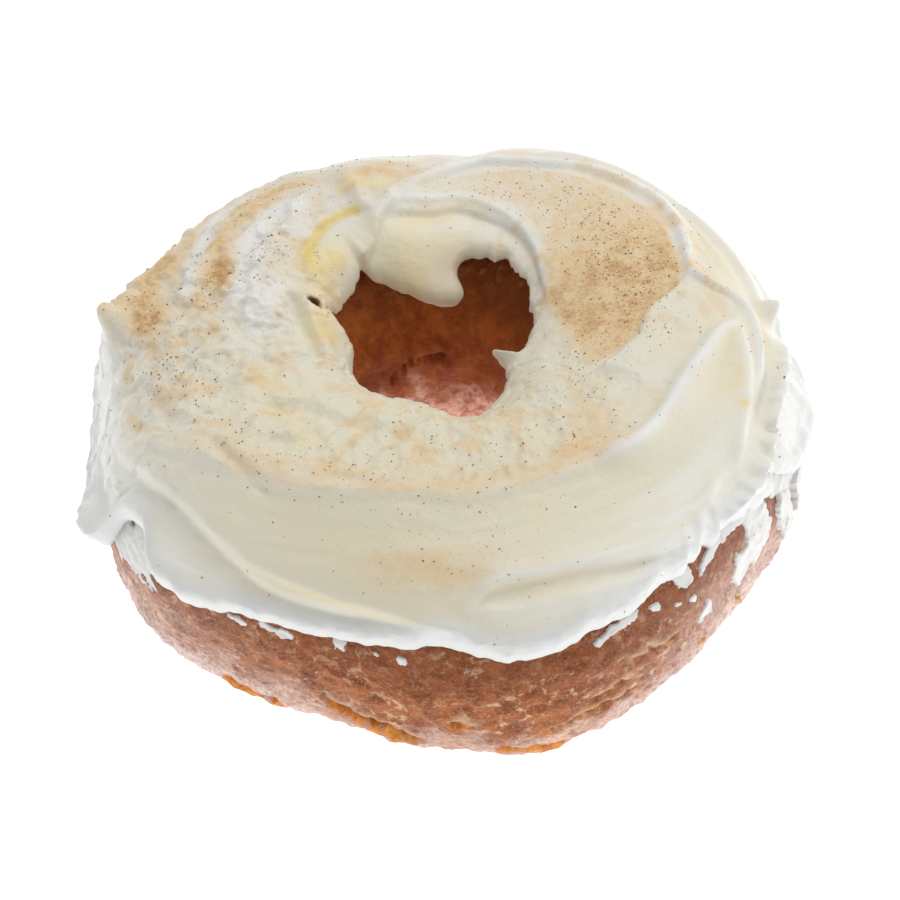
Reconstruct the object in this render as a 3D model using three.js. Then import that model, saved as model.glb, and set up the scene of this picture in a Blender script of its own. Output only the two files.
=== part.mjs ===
// Iced doughnut: a fried ring of cake dough under a thick coat of spread icing.
// Lengths are in millimetres, with +Z up and the dough's flat bottom at Z = 0.
// A ring angle runs round the hole: 0 is the right, 90 the back, -90 the front.
// A tube angle runs round the ring's section: 0 is outward, 90 up, 180 the hole.
import * as THREE from 'three';

// Dough ring
const HOLE_RADIUS = 13.5;
const RIM_RADIUS = 44.7;
const DOUGH_HEIGHT = 29.5;
const FLATTENED_BY = 1.2;
const DOUGH_SQUARENESS = 2.5;

// Waver of the dough's rim: waves round the ring, reach, ring angle of a crest
const RIM_WAVES = [[1, 1.5, -44], [2, 0.4, 24], [3, 1.1, 47], [4, 0.55, 42], [5, 1.3, -6]];

// Swells and hollows of the dough's side: ring angle, spread, tube angle, spread, height
const DOUGH_LUMPS = [
  [-158, 26, -38, 34, -0.6],
  [-98, 26, -50, 24, -0.6],
  [-20, 8, -10, 14, 0.9],
  [-48, 30, -32, 32, -0.3],
];

// Cracks low on the crust: height, reach up, reach down, run-out at each end
// and the path as ring angle and tube angle
const CRACK = { height: -1.2, above: 0.9, below: 2.0, runOut: 5 };
const CRACK_PATHS = [
  [[-132, -22], [-127, -27], [-123, -32], [-117, -36]],
  [[-113, -8], [-105, -19], [-97, -25], [-91, -27]],
  [[-86, -25], [-80, -28], [-76, -31], [-69, -32]],
  [[-79, -18], [-73, -13], [-64, -8], [-57, -9]],
  [[20, -14], [32, -20], [46, -15]],
  [[95, -16], [112, -22], [128, -17]],
  [[172, -14], [186, -19], [200, -14]],
];

// Coat of icing: gap to the dough, thickness at the crest and the sides, and the blunt edges,
// of which the one at the rim has a bead and the one at the hole overhangs as a thin lip
const ICING_GAP = 0.3;
const CREST = 6.3;
const FRONT_DROP = 1.0;
const OUTER_SIDE = 2.2;
const OUTER_SQUARENESS = 2.35;
const HOLE_SQUARENESS = 3.2;
const EDGE_THICKNESS = 0.7;
const NOSE = 9;
const HOLE_NOSE = 6;
const RIM_BEAD = { height: 0.7, above: 6, spread: 5 };
const HOLE_LIP = { thickness: 2.0, from: 18, to: 4 };

// Edges of the icing as ring angle and tube angle: low on the rim, and in the hole
const OUTER_EDGE = [
  [-180, 26], [-168, 22], [-161, 15], [-156, 13], [-152.5, 16], [-150.5, 30], [-147, 35], [-143, 35],
  [-140.5, 26], [-138, 22], [-133, 21], [-120, 27], [-105, 29], [-91, 33], [-82, 28], [-70, 31],
  [-60, 34], [-54, 36], [-48, 36], [-43, 37], [-36, 34], [-30, 31], [-27, 30], [-24, 33], [-21, 29],
  [-18, 22], [-12, 14], [-2, 14], [8, 18], [20, 26], [45, 30], [70, 24], [95, 30], [120, 25], [145, 30],
  [165, 24],
];
const HOLE_EDGE = [
  [-180, 142], [-150, 143], [-120, 143], [-90, 143], [-60, 143], [-30, 143], [0, 140], [20, 136],
  [32, 133], [42, 129], [54, 126], [62, 125], [70, 125], [77, 126], [81, 131], [84, 138], [90, 141],
  [98, 138], [106, 133], [112, 128], [117, 124], [121, 124], [127, 130], [134, 134], [140, 135],
  [147, 133], [152, 132], [157, 137], [165, 141],
];

// How far the icing stands out into the hole round the ring
const HOLE_SIDE = [
  [-180, 4.8], [-155, 5.0], [-131, 6.6], [-104, 7.2], [-80, 5.0], [-68, 4.0], [-49, 5.2], [-27, 7.2],
  [-4, 7.0], [13, 4.8], [29, 3.6], [48, 2.4], [70, 2.0], [90, 2.5], [105, 2.5], [118, 1.2], [127, 0.6],
  [142, 1.4], [152, 2.0], [162, 4.2], [172, 5.0],
];

// Lumps of the icing: ring angle, spread, tube angle, spread, height
const ICING_LUMPS = {
  tongue: [93, 19, 141, 14, 4.7],
  backLeftShoulder: [138, 16, 40, 34, -2.2],
  backLeftCrest: [106, 12, 80, 25, 1.5],
  backDip: [82, 5, 66, 16, -0.9],
  leftSide: [-168, 14, 36, 16, -1.0],
  leftBlob: [-156, 5, 21, 8, 1.9],
  leftLump: [-163, 3, 34, 6, 0.5],
  leftDimple: [-158, 4, 33, 4, -0.7],
  leftPeak: [176, 2.6, 57.5, 3.6, 3.4],
  leftShoulder: [168, 8, 61, 9, 1.3],
  leftBank: [174, 7, 53, 13, 2.5],
  rightHollow: [8, 9, 42, 20, -1.6],
  rightPoint: [8, 2.6, 50, 4, 2.6],
  rightNotch: [10, 4, 28, 8, -0.8],
  rightCorner: [-4, 4, 26, 8, 1.4],
  leftPetal: [136, 11, 118, 7, 1.0],
  lowPetal: [160, 9, 126, 8, 0.6],
  tear: [153, 4, 121, 4, -2.0],
  backSeam: [112, 2.4, 90, 14, 0.8],
  leafHollow: [-14, 10, 72, 5, -0.7],
};

// Pointed spur of icing into the hole: ring angle, spread, tube angle, spread, height
const SPUR = { at: -14, spread: 4.2, tubeAt: 143, tubeSpread: 4.5, height: 4.4 };

// Tip of the tongue that hooks round: ring angle, spread, turn and the tube angles it grows over
const HOOK = { at: 81, spread: 15, turn: 17, from: 127, to: 143 };

// Strokes of the spreading knife, each a ridge: height, reach toward the hole,
// reach toward the rim, run-out at each end and its path
const STROKES = {
  shelf: [0.9, 3.5, 1.2, 12, [[-158, 56], [-144, 70], [-126, 76], [-104, 85], [-86, 88], [-67, 89],
    [-49, 84], [-34, 80]]],
  frontBand: [-1.1, 3.6, 6.0, 30, [[-150, 52], [-135, 62], [-105, 69], [-80, 74], [-56, 72], [-20, 66]]],
  leftFold: [0.8, 3.6, 1.2, 10, [[-164, 47], [-151, 56], [-138, 57], [-127, 52], [-114, 47], [-100, 45],
    [-84, 41]]],
  underFold: [-0.6, 1.2, 2.2, 14, [[-160, 45], [-148, 51], [-128, 46], [-110, 39], [-90, 39]]],
  swirl: [1.0, 1.2, 1.3, 10, [[-17, 58], [-7, 60], [4, 63], [9, 76], [12, 80], [26, 74], [40, 70], [54, 74],
    [66, 80], [78, 81], [91, 90], [102, 98]]],
  outerRight: [0.8, 1.6, 1.2, 8, [[2, 50], [18, 53], [33, 58], [46, 63], [70, 71]]],
  leaf: [1.1, 1.2, 2.2, 8, [[-56, 87], [-43, 81], [-25, 82], [-10, 78], [3, 65]]],
  leafSide: [0.7, 1.4, 1.2, 6, [[-34, 50], [-25, 57], [-14, 63], [-1, 69]]],
  outerGroove: [-1.0, 1.2, 1.2, 6, [[-24, 52], [-13, 55], [4, 58]]],
  outerFold: [1.3, 1.2, 1.2, 7, [[-44, 40], [-30, 42], [-19, 48], [-8, 49], [5, 46]]],
  outerStep: [-1.4, 1.2, 14.0, 7, [[-30, 39], [-24, 41], [-14, 45], [-8, 45], [6, 42]]],
  holeRim: [0.6, 1.2, 2.6, 10, [[14, 127], [36, 122], [50, 116], [64, 109], [83, 100], [108, 99]]],
  tongueRoot: [-0.7, 1.6, 1.2, 8, [[30, 127], [52, 119], [73, 111], [91, 107], [110, 107]]],
  petalEdge: [0.9, 1.2, 2.6, 4, [[100, 98], [110, 106], [126, 120]]],
  petalCrease: [-0.7, 1.2, 1.2, 6, [[110, 101], [125, 101], [148, 113]]],
  leftRidge: [1.0, 2.2, 1.2, 10, [[118, 82], [133, 94], [152, 98], [180, 99]]],
  outerLeft: [0.9, 2.4, 1.2, 10, [[112, 66], [138, 60], [165, 60], [178, 54]]],
  leftDrag: [0.6, 1.4, 1.2, 10, [[128, 76], [138, 78], [150, 80], [160, 79], [178, 72]]],
  holeScoop: [-1.1, 1.4, 2.0, 10, [[-152, 101], [-131, 111], [-98, 117]]],
  rightStrokeHigh: [0.7, 1.6, 1.2, 8, [[-90, 47], [-80, 57], [-67, 56], [-42, 44]]],
  rightFurrow: [-0.7, 1.2, 1.2, 8, [[-88, 47], [-70, 49], [-50, 43]]],
  rightStrokeLow: [0.6, 1.2, 1.2, 8, [[-90, 41], [-76, 43], [-62, 43], [-54, 42]]],
  patchEdge: [0.9, 1.2, 4.0, 6, [[-30, 108], [-9, 100], [6, 90], [16, 79]]],
};
const STROKE_ARC = 20;

// Fineness of the two solids
const RING_STEPS = 112;
const DOUGH_STEPS = 24;
const DOUGH_FINEST_AT = -25;
const DOUGH_WARP = 30;
const ICING_TOP_STEPS = 26;
const ICING_UNDER_STEPS = 12;

const radians = (degrees) => degrees * Math.PI / 180;
const clamp01 = (value) => Math.min(Math.max(value, 0), 1);
const turned = (angle) => ((angle + 180) % 360 + 360) % 360 - 180;
const sum = (values) => values.reduce((total, value) => total + value, 0);

function smoothstep(value, low, high) {
  const t = clamp01((value - low) / (high - low));
  return t * t * (3 - 2 * t);
}

// A bell of height 1 at one ring angle
function bell(angle, at, spread) {
  return Math.exp(-((turned(angle - at) / spread) ** 2));
}

// A smooth curve through knots of angle and value
function through(knots, slopes, i, angle) {
  const span = knots[i + 1][0] - knots[i][0];
  const t = clamp01((angle - knots[i][0]) / span);
  const rise = (2 * t ** 3 - 3 * t ** 2 + 1) * knots[i][1] + (3 * t ** 2 - 2 * t ** 3) * knots[i + 1][1];
  return rise + span * ((t ** 3 - 2 * t ** 2 + t) * slopes[i] + (t ** 3 - t ** 2) * slopes[i + 1]);
}

function slopesOf(knots) {
  return knots.map((knot, i) => {
    const before = knots[Math.max(i - 1, 0)];
    const after = knots[Math.min(i + 1, knots.length - 1)];
    return (after[1] - before[1]) / (after[0] - before[0]);
  });
}

function segmentOf(knots, angle) {
  const last = knots.length - 2;
  return Math.min(Math.max(knots.findIndex((knot) => knot[0] > angle) - 1, 0), last);
}

// An edge that closes on itself round the ring
function closedCurve(knots) {
  const shifted = ([angle, value], turns) => [angle + 360 * turns, value];
  const [first, second] = knots;
  const end = knots[knots.length - 1];
  const ring = [shifted(end, -1), ...knots, shifted(first, 1), shifted(second, 1)];
  const slopes = slopesOf(ring);
  return (angle) => {
    const wrapped = turned(angle);
    return through(ring, slopes, segmentOf(ring, wrapped), wrapped);
  };
}

// A ridge, or with a negative height a groove, that runs out at both ends of its path
function ridge(height, towardHole, towardRim, runOut, path) {
  const slopes = slopesOf(path);
  const start = path[0][0];
  const end = path[path.length - 1][0];
  return (ringAngle, tubeAngle) => {
    const angle = start + ((ringAngle - start) % 360 + 360) % 360;
    if (angle > end) return 0;
    const i = angle >= path[path.length - 2][0] ? path.length - 2 : segmentOf(path, angle);
    const across = radians(turned(tubeAngle - through(path, slopes, i, angle))) * STROKE_ARC;
    const reach = across > 0 ? towardHole : towardRim;
    const present = smoothstep(angle, start, start + runOut) * (1 - smoothstep(angle, end - runOut, end));
    return height * present * Math.exp(-((across / reach) ** 2));
  };
}

function lump([at, spread, tubeAt, tubeSpread, height], ringAngle, tubeAngle) {
  return height * bell(ringAngle, at, spread) * Math.exp(-((turned(tubeAngle - tubeAt) / tubeSpread) ** 2));
}

// Distance from a section's middle to a rounded square of two half widths
function roundedSquare(tubeAngle, halfWidth, halfHeight, squareness) {
  const across = (Math.abs(Math.cos(radians(tubeAngle))) / halfWidth) ** squareness;
  const up = (Math.abs(Math.sin(radians(tubeAngle))) / halfHeight) ** squareness;
  return (across + up) ** (-1 / squareness);
}

function sectionAt(ringAngle) {
  const wave = ([waves, reach, crest]) => reach * Math.cos(radians(waves * (ringAngle - crest)));
  const rim = RIM_RADIUS + sum(RIM_WAVES.map(wave));
  const halfHeight = (DOUGH_HEIGHT + FLATTENED_BY) / 2;
  return {
    middle: (rim + HOLE_RADIUS) / 2,
    halfWidth: (rim - HOLE_RADIUS) / 2,
    halfHeight,
    level: DOUGH_HEIGHT - halfHeight,
  };
}

function pointAt(ringAngle, tubeAngle, reach, section) {
  const radius = section.middle + reach * Math.cos(radians(tubeAngle));
  const height = Math.max(section.level + reach * Math.sin(radians(tubeAngle)), 0);
  const turn = radians(ringAngle);
  return [radius * Math.cos(turn), radius * Math.sin(turn), height];
}

const cracks = CRACK_PATHS.map((path) => ridge(CRACK.height, CRACK.above, CRACK.below, CRACK.runOut, path));

function doughPoint(ringAngle, tubeAngle) {
  const section = sectionAt(ringAngle);
  const plain = roundedSquare(tubeAngle, section.halfWidth, section.halfHeight, DOUGH_SQUARENESS);
  const lumps = sum(DOUGH_LUMPS.map((each) => lump(each, ringAngle, tubeAngle)));
  const cracked = sum(cracks.map((each) => each(ringAngle, tubeAngle)));
  return pointAt(ringAngle, tubeAngle, plain + lumps + cracked, section);
}

const outerEdge = closedCurve(OUTER_EDGE);
const holeEdge = closedCurve(HOLE_EDGE);
const holeSide = closedCurve(HOLE_SIDE);
const strokes = Object.values(STROKES).map((stroke) => ridge(...stroke));

// The spur comes to a point along the ring
function spur(ringAngle, tubeAngle) {
  const along = Math.exp(-Math.abs(turned(ringAngle - SPUR.at)) / SPUR.spread);
  return SPUR.height * along * Math.exp(-(((tubeAngle - SPUR.tubeAt) / SPUR.tubeSpread) ** 2));
}

function icingThickness(ringAngle, tubeAngle, section, underside) {
  const crest = section.halfHeight + CREST - FRONT_DROP * bell(ringAngle, -90, 50);
  const side = section.halfWidth + (tubeAngle < 90 ? OUTER_SIDE : holeSide(ringAngle));
  const squareness = tubeAngle < 90 ? OUTER_SQUARENESS : HOLE_SQUARENESS;
  const coat = roundedSquare(tubeAngle, side, crest, squareness) - underside;
  const lumps = sum(Object.values(ICING_LUMPS).map((each) => lump(each, ringAngle, tubeAngle)));
  const aboveEdge = tubeAngle - outerEdge(ringAngle) - RIM_BEAD.above;
  const bead = RIM_BEAD.height * Math.exp(-((aboveEdge / RIM_BEAD.spread) ** 2));
  const knifed = sum(strokes.map((each) => each(ringAngle, tubeAngle)));
  return coat + lumps + bead + knifed + spur(ringAngle, tubeAngle);
}

// A point of the icing's top or of its underside, a share of the way from the rim's edge to the hole's
function icingPoint(ringAngle, share, isTop) {
  const outer = outerEdge(ringAngle);
  const inner = holeEdge(ringAngle);
  const tubeAngle = outer + (inner - outer) * share;
  const turn = HOOK.turn * bell(ringAngle, HOOK.at, HOOK.spread) * smoothstep(tubeAngle, HOOK.from, HOOK.to);
  const placed = ringAngle - turn;
  const section = sectionAt(placed);
  const dough = roundedSquare(tubeAngle, section.halfWidth, section.halfHeight, DOUGH_SQUARENESS);
  const laid = dough + ICING_GAP;
  const whole = Math.max(icingThickness(ringAngle, tubeAngle, section, laid), EDGE_THICKNESS);
  const lipShare = smoothstep(tubeAngle, inner - HOLE_LIP.from, inner - HOLE_LIP.to);
  const lifted = Math.max(whole - HOLE_LIP.thickness, 0) * lipShare;
  if (!isTop) return pointAt(placed, tubeAngle, laid + lifted, section);
  const fromOuter = 1 - clamp01((tubeAngle - outer) / NOSE);
  const fromInner = 1 - clamp01((inner - tubeAngle) / HOLE_NOSE);
  const nose = Math.sqrt(1 - fromOuter ** 2) * Math.sqrt(1 - fromInner ** 2);
  const top = EDGE_THICKNESS + (whole - lifted - EDGE_THICKNESS) * nose;
  return pointAt(placed, tubeAngle, laid + lifted + top, section);
}

// A closed skin over loops of points, each loop one section and the loops in a ring
function closedSkin(loops) {
  const around = loops.length;
  const each = loops[0].length;
  const index = (i, k) => (i % around) * each + k % each;
  const faces = [];
  for (let i = 0; i < around; i += 1) {
    for (let k = 0; k < each; k += 1) {
      const [a, b, c, d] = [index(i, k), index(i + 1, k), index(i + 1, k + 1), index(i, k + 1)];
      faces.push(a, b, c, a, c, d);
    }
  }
  const geometry = new THREE.BufferGeometry();
  geometry.setAttribute('position', new THREE.Float32BufferAttribute(loops.flat(2), 3));
  geometry.setIndex(faces);
  geometry.computeVertexNormals();
  return geometry;
}

const ringAngles = Array.from({ length: RING_STEPS }, (_, i) => -180 + 360 * i / RING_STEPS);

const doughLoops = ringAngles.map((ringAngle) => Array.from({ length: DOUGH_STEPS }, (_, k) => {
  const turn = 360 * k / DOUGH_STEPS;
  return doughPoint(ringAngle, DOUGH_FINEST_AT + turn - DOUGH_WARP * Math.sin(radians(turn)));
}));

// Shares of the way over the icing, closer together at its two edges
const topShares = Array.from({ length: ICING_TOP_STEPS }, (_, k) => {
  const even = k / (ICING_TOP_STEPS - 1);
  return even - 0.09 * Math.sin(2 * Math.PI * even);
});
const underShares = Array.from({ length: ICING_UNDER_STEPS }, (_, k) => 1 - k / (ICING_UNDER_STEPS - 1));

const icingLoops = ringAngles.map((ringAngle) => [
  ...topShares.map((share) => icingPoint(ringAngle, share, true)),
  ...underShares.map((share) => icingPoint(ringAngle, share, false)),
]);

// Solids and their finish
const solids = [
  ['dough', doughLoops, { color: 0x9c6243, roughness: 0.8, metalness: 0 }],
  ['icing', icingLoops, { color: 0xe6e0cc, roughness: 0.5, metalness: 0 }],
];

const doughnut = new THREE.Group();
doughnut.name = 'iced_doughnut';
for (const [name, loops, finish] of solids) {
  const mesh = new THREE.Mesh(closedSkin(loops), new THREE.MeshStandardMaterial(finish));
  mesh.name = name;
  doughnut.add(mesh);
}

// The origin is under the middle of the whole
const middle = new THREE.Box3().setFromObject(doughnut).getCenter(new THREE.Vector3());
for (const mesh of doughnut.children) mesh.geometry.translate(-middle.x, -middle.y, 0);

export default doughnut;
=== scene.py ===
import math
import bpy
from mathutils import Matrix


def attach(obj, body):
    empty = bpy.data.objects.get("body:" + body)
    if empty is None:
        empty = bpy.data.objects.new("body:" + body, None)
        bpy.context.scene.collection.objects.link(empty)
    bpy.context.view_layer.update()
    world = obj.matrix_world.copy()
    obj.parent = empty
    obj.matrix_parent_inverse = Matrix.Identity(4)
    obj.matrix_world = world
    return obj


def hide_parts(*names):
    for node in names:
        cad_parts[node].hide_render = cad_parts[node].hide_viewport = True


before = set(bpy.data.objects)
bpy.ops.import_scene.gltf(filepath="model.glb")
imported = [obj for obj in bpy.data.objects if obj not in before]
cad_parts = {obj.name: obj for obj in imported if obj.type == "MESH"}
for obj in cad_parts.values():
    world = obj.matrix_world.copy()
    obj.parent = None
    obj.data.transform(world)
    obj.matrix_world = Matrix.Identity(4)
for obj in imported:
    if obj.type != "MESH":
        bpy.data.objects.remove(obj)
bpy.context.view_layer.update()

from types import SimpleNamespace

import bmesh
import bpy
import numpy as np
from mathutils import Matrix, Vector, noise

MM = 0.001

# Shape values are in millimetres and degrees, about the axis of the hole.
# A ring angle runs round the hole: 0 is the right, 90 the back, -90 the front.
# A tube angle runs round the ring's section: 0 is outward, 90 up, 180 the hole.
HOLE_AXIS = (-1.267, 1.442)

# Dough ring, with waves of its rim: count, reach, place of a crest
HOLE_RADIUS = 13.5
RIM_RADIUS = 44.7
DOUGH_HEIGHT = 29.5
FLATTENED_BY = 1.2
DOUGH_SQUARENESS = 2.5
RIM_WAVES = ((1, 1.5, -44), (2, 0.4, 24), (3, 1.1, 47), (4, 0.55, 42), (5, 1.3, -6))

# Lumps and hollows: ring angle, spread, tube angle, spread, height
DOUGH_LUMPS = (
    (-158, 26, -38, 34, -0.6),
    (-98, 26, -50, 24, -0.6),
    (-20, 8, -10, 14, 0.9),
    (-48, 30, -32, 32, -0.3),
)

# Crags of the crust, each a crack over a ledge of bare crumb: size, run-out, path
CRAGS = (
    (1.0, 3, ((-131, -22), (-127, -27), (-123, -32), (-118, -36))),
    (1.3, 3, ((-112, -8), (-108, -14), (-105, -19), (-101, -22), (-97, -25), (-92, -27))),
    (1.1, 3, ((-84, -25), (-80, -28), (-76, -31), (-70, -32))),
    (0.45, 2, ((-91.5, -11), (-88, -7), (-84.5, -10))),
    (0.65, 4, ((-78, -18), (-73, -13), (-69, -10), (-64, -8), (-58, -9))),
    (0.55, 3, ((-70, -4), (-66, -2), (-60, -1))),
    (0.5, 3, ((-64, 12), (-60, 11), (-56, 9), (-50, 8))),
    (0.6, 1, ((-47.2, -11), (-45.5, -13), (-43.8, -16))),
    (0.6, 1, ((-36.8, -8), (-35, -11), (-32.8, -16))),
    (0.9, 5, ((20, -14), (32, -20), (46, -15))),
    (0.9, 5, ((95, -16), (112, -22), (128, -17))),
    (0.9, 5, ((172, -14), (186, -19), (200, -14))),
    (1.0, 4, ((82, 172), (90, 167), (97, 165), (105, 166), (112, 171), (120, 178))),
    (0.8, 4, ((40, 176), (52, 181), (64, 186), (74, 183))),
)
CRAG_CRACK = (-0.9, 0.3, 0.5)
LEDGE_BELOW = 1.4

# Grain of the crust: height, size of the largest features, octaves, seed
CRUST_SWELL = (0.35, 7.0, 3, 1.7)
CRUST_GRAIN = (0.34, 1.8, 4, 8.3)
CRUMB_GRAIN = (0.16, 1.4, 3, 2.9)
CRAG_RIPPLE = (3.2, 3.6, 4, 4.1)

# Coat of icing, with its two edges as ring angle and tube angle
ICING_GAP = 0.3
CREST = 6.3
FRONT_DROP = 1.0
OUTER_SIDE = 2.2
OUTER_SQUARENESS = 2.35
HOLE_SQUARENESS = 3.2
EDGE_THICKNESS = 0.7
HOLE_LIP_THICKNESS = 2.0
NOSE = 9
HOLE_NOSE = 6
OUTER_EDGE = (
    (-180, 26), (-168, 22), (-161, 15), (-156, 13), (-152.5, 16), (-150.5, 30), (-147, 35), (-143, 35),
    (-140.5, 26), (-138, 22), (-133, 21), (-120, 27), (-105, 29), (-91, 33), (-82, 28), (-70, 31), (-60, 34),
    (-54, 36), (-48, 36), (-43, 37), (-36, 34), (-30, 31), (-27, 30), (-24, 33), (-21, 29), (-18, 22),
    (-12, 14), (-2, 14), (8, 18), (20, 26), (45, 30), (70, 24), (95, 30), (120, 25), (145, 30), (165, 24),
)
# Bead along the lip: height, degrees above the edge, spread
LIP_BEAD = (0.7, 6, 5)
HOLE_EDGE = (
    (-180, 142), (-150, 143), (-120, 143), (-90, 143), (-60, 143), (-30, 143), (0, 140), (20, 136), (32, 133),
    (42, 129), (54, 126), (62, 125), (70, 125), (77, 126), (81, 131), (84, 138), (90, 141), (98, 138),
    (106, 134), (112, 131), (117, 128.5), (121, 125.5), (124, 122), (127, 125), (132, 128), (136, 130),
    (140, 131), (146, 131), (151, 129.5), (154, 129), (157, 132), (161, 136.5), (166, 140.5),
)
# How far the icing hangs out over the hole
HOLE_SIDE = (
    (-180, 4.8), (-155, 5.0), (-131, 6.6), (-104, 7.2), (-80, 5.0), (-68, 4.0), (-49, 5.2), (-27, 7.2),
    (-4, 7.0), (13, 4.8), (29, 3.6), (48, 2.4), (70, 2.0), (90, 2.5), (105, 2.5), (118, 1.2), (127, 0.6),
    (142, 1.4), (152, 2.0), (162, 4.2), (172, 5.0),
)
# Lumps and hollows: ring angle, spread, tube angle, spread, height
ICING_LUMPS = {
    "tongue": (93, 19, 141, 14, 4.7),
    "back_left_shoulder": (138, 16, 40, 34, -2.2),
    "back_left_crest": (106, 12, 80, 25, 1.5),
    "back_dip": (82, 5, 66, 16, -0.9),
    "left_side": (-168, 14, 36, 16, -1.0),
    "left_blob": (-156, 5, 21, 8, 1.9),
    "left_lump": (-163, 3.0, 34, 6, 0.5),
    "left_dimple": (-158, 4, 33, 4, -0.7),
    "left_peak": (176, 2.6, 57.5, 3.4, 3.4),
    "left_shoulder": (168, 8, 61, 9, 1.3),
    "right_hollow": (8, 9, 42, 20, -1.6),
    "right_point": (8, 2.2, 50, 4, 2.6),
    "right_notch": (10, 4, 28, 8, -0.8),
    "right_corner": (-4, 4, 26, 8, 1.4),
    "left_bank": (174, 7, 53, 13, 2.5),
    "left_petal": (136, 11, 118, 7, 1.0),
    "low_petal": (160, 9, 126, 8, 0.6),
    "tear": (160, 1.8, 121, 2.4, -3.0),
    "back_seam": (112, 2.4, 90, 14, 0.8),
    "leaf_hollow": (-14, 10, 72, 5, -0.7),
    "left_small_ridge": (-170, 1.6, 88, 8, 0.7),
}
# Pointed spur of icing into the hole, given in the same way
SPUR = (-14, 4.2, 143, 4.5, 4.4)
# Turn of the tongue's tip round the hole
HOOK = dict(at=81, spread=15, turn=17, start=127, end=143)

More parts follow.
